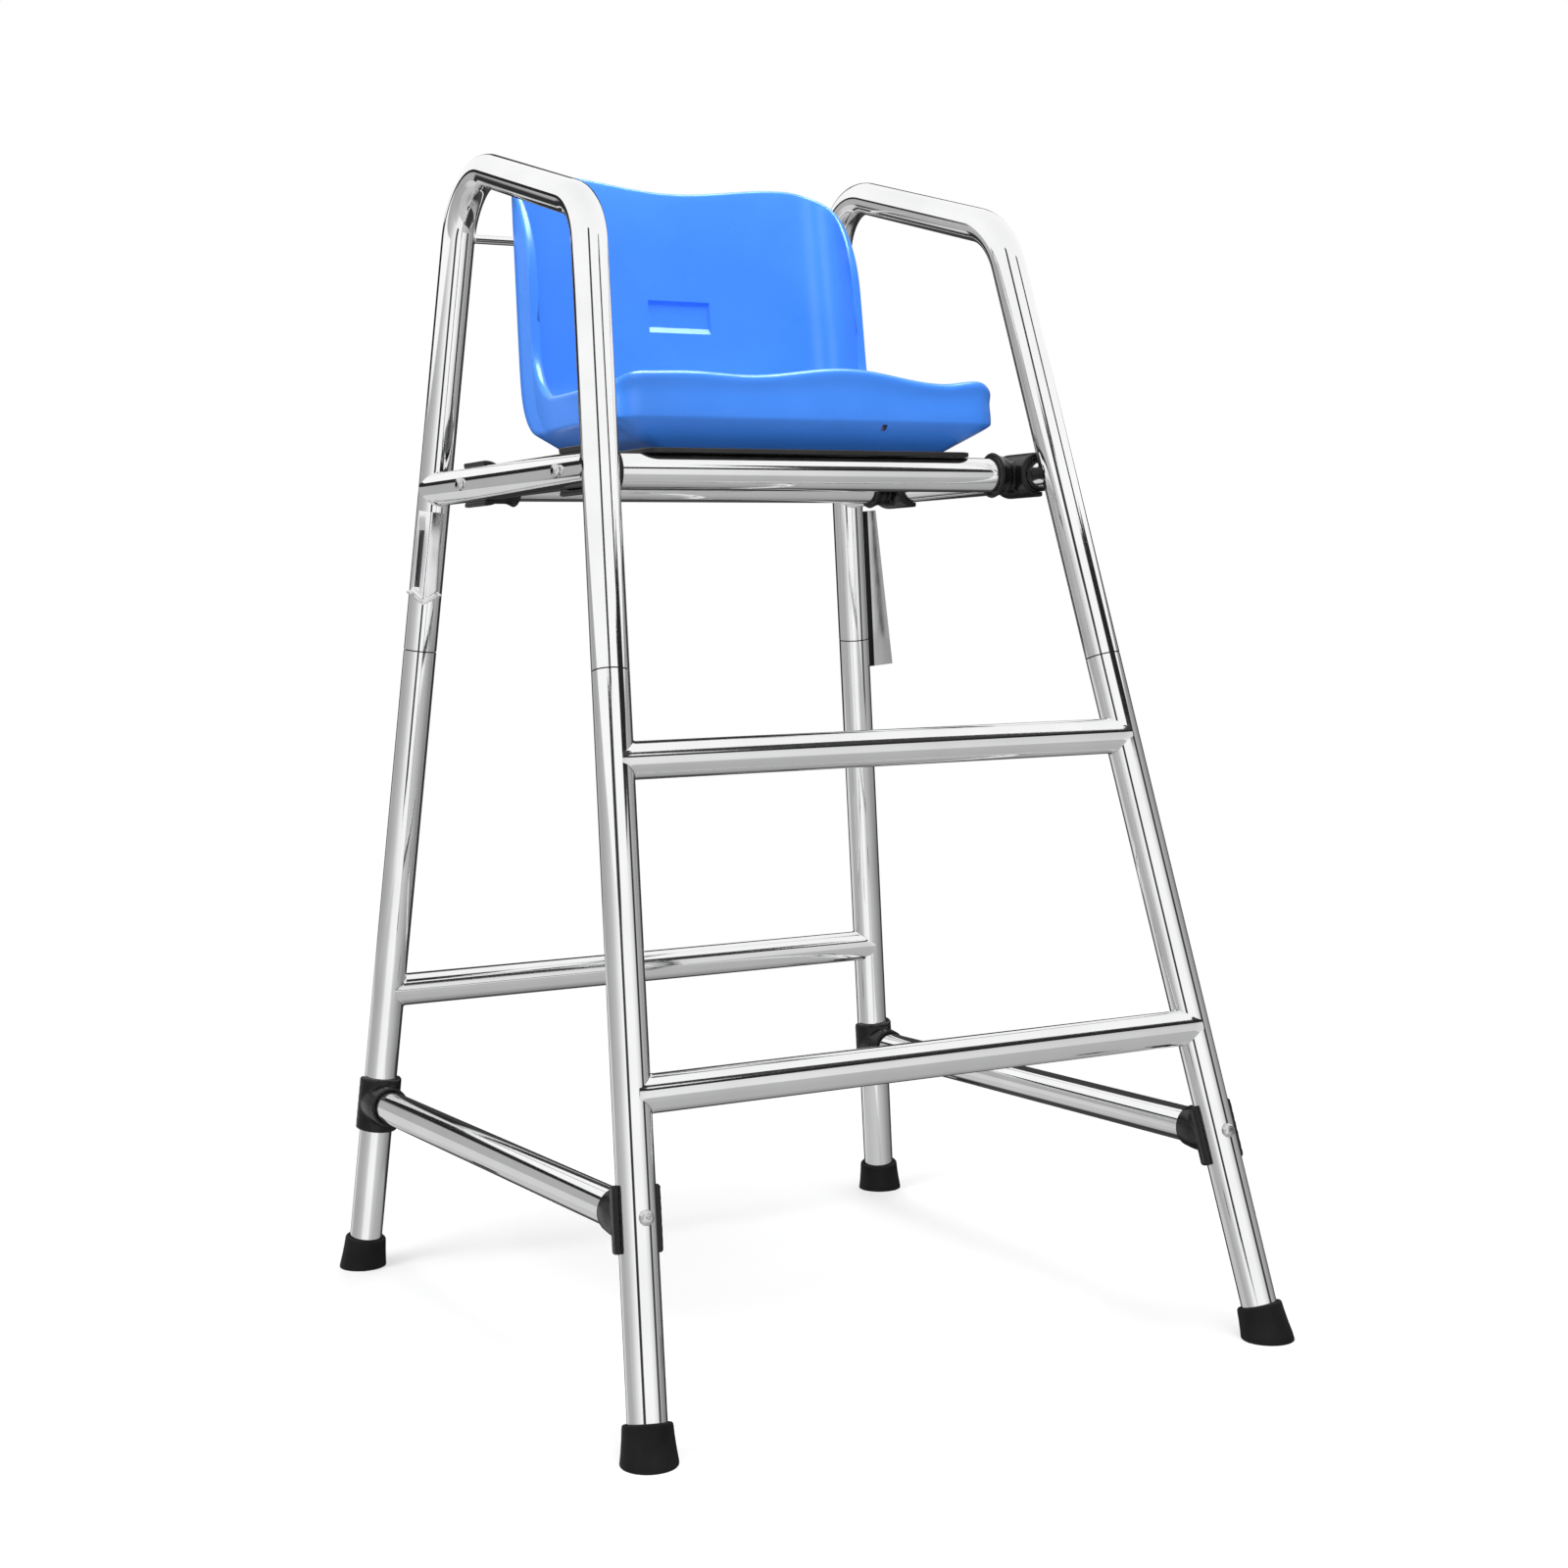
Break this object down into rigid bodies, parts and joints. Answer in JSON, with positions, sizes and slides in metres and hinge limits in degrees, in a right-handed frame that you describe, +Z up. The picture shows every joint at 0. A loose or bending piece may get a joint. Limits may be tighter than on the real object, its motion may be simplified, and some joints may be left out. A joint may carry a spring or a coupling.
{
  "type": "lifeguard chair",
  "caption": "Tall lifeguard chair: bent steel tube frame with a ladder front, arm rests, black tee connectors, rubber feet and a moulded blue bucket seat.",
  "frame": {"origin": "on the floor, at the middle of the footprint", "axes": "+Z up, -Y towards the front where the steps are, +X to the sitter's left"},
  "size_m": [0.781, 0.8555, 1.2947],
  "materials": {
    "polished_tube": "polished stainless steel tube, near mirror",
    "steel_sheet": "bent stainless sheet",
    "bolt_steel": "button head stainless bolt",
    "black_nylon": "moulded black nylon, lightly glossy",
    "black_rubber": "matt black rubber",
    "black_plate": "matt black plate",
    "blue_seat": "satin moulded blue plastic"
  },
  "bodies": {
    "root": {"left_arch_tube": "polished_tube", "right_arch_tube": "polished_tube", "left_side_rail": "polished_tube", "right_side_rail": "polished_tube", "front_left_lower_leg": "polished_tube", "front_right_lower_leg": "polished_tube", "rear_left_lower_leg": "polished_tube", "rear_right_lower_leg": "polished_tube", "lower_step": "polished_tube", "upper_step": "polished_tube", "rear_cross_bar": "polished_tube", "back_bar": "polished_tube", "front_cross_rail": "polished_tube", "rear_cross_rail": "polished_tube", "left_side_bar": "polished_tube", "right_side_bar": "polished_tube", "front_left_splice_sleeve": "polished_tube", "front_right_splice_sleeve": "polished_tube", "rear_left_splice_sleeve": "polished_tube", "rear_right_splice_sleeve": "polished_tube", "hook_bracket": "steel_sheet", "hanger_plate": "steel_sheet", "front_rail_left_tee": "black_nylon", "front_rail_right_tee": "black_nylon", "rear_rail_left_tee": "black_nylon", "rear_rail_right_tee": "black_nylon", "left_bar_front_tee": "black_nylon", "left_bar_rear_tee": "black_nylon", "right_bar_front_tee": "black_nylon", "right_bar_rear_tee": "black_nylon", "front_rail_left_tee_bolt": "bolt_steel", "front_rail_right_tee_bolt": "bolt_steel", "rear_rail_left_tee_bolt": "bolt_steel", "rear_rail_right_tee_bolt": "bolt_steel", "left_bar_front_tee_bolt": "bolt_steel", "left_bar_rear_tee_bolt": "bolt_steel", "right_bar_front_tee_bolt": "bolt_steel", "right_bar_rear_tee_bolt": "bolt_steel", "front_left_foot": "black_rubber", "front_right_foot": "black_rubber", "rear_left_foot": "black_rubber", "rear_right_foot": "black_rubber", "seat_base_plate": "black_plate", "seat_shell": "blue_seat"}
  },
  "joints": []
}
